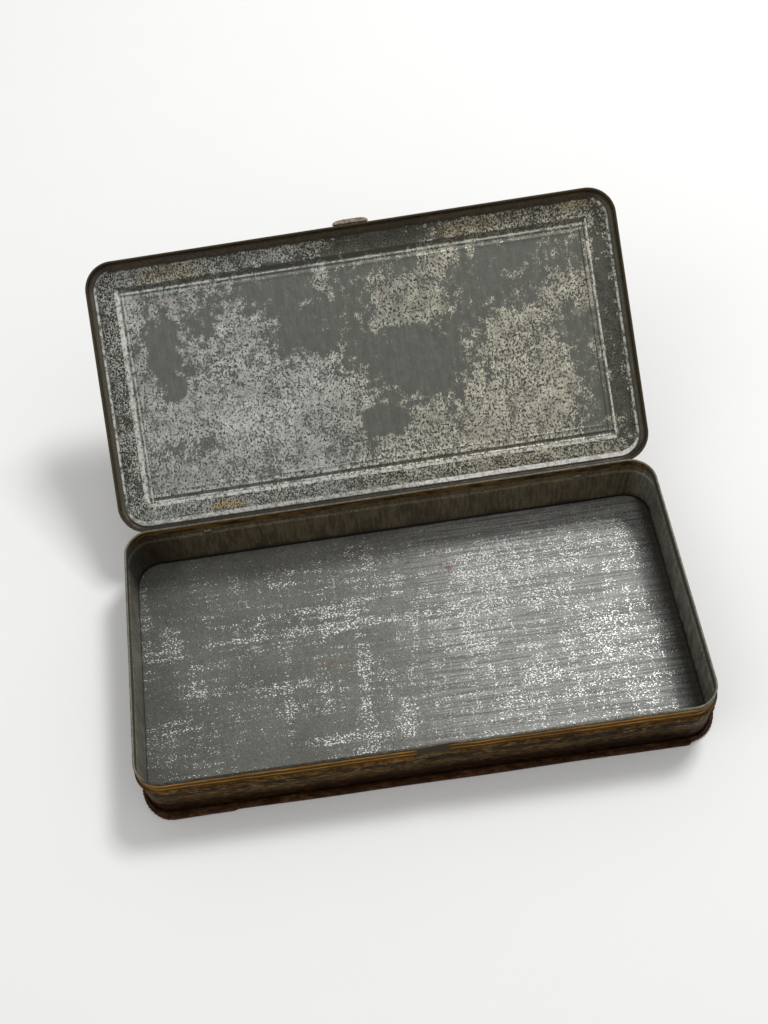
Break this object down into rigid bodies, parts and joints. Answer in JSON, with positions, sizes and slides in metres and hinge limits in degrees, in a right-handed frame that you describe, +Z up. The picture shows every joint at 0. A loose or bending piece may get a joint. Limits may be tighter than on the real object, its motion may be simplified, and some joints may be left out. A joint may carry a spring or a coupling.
{
  "type": "pencil case",
  "caption": "Rectangular hinged tin pencil case with rounded corners, a bead under the rim and a shallow lid with a raised panel, shown open.",
  "frame": {"origin": "middle of the underside of the bottom plate, on the plane the case rests on", "axes": "+Z up, +X to the right along the long side, +Y towards the hinge at the back"},
  "size_m": [0.2054, 0.1946, 0.0811],
  "materials": {
    "wall_tin": "worn dark brown and gold lacquer outside, tarnished bare tinplate inside",
    "floor_tin": "tarnished bare tinplate inside, worn dark brown lacquer outside",
    "lid_tin": "tarnished and speckled bare tinplate inside, worn dark brown lacquer outside",
    "hinge_steel": "dull tarnished steel",
    "tab_tin": "bare tinplate worn bright"
  },
  "bodies": {
    "base": {"base_wall": "wall_tin", "bottom_plate": "floor_tin", "hinge_lug_left": "hinge_steel", "hinge_lug_right": "hinge_steel"},
    "lid": {"lid": "lid_tin", "hinge_wire": "hinge_steel", "thumb_tab": "tab_tin"}
  },
  "joints": [
    {"name": "lid_hinge", "type": "hinge", "parent": "base", "child": "lid", "pos_m": [0, 0.05225, 0.02155], "axis": [1, 0, 0], "range_deg": [0, 146.5]}
  ]
}
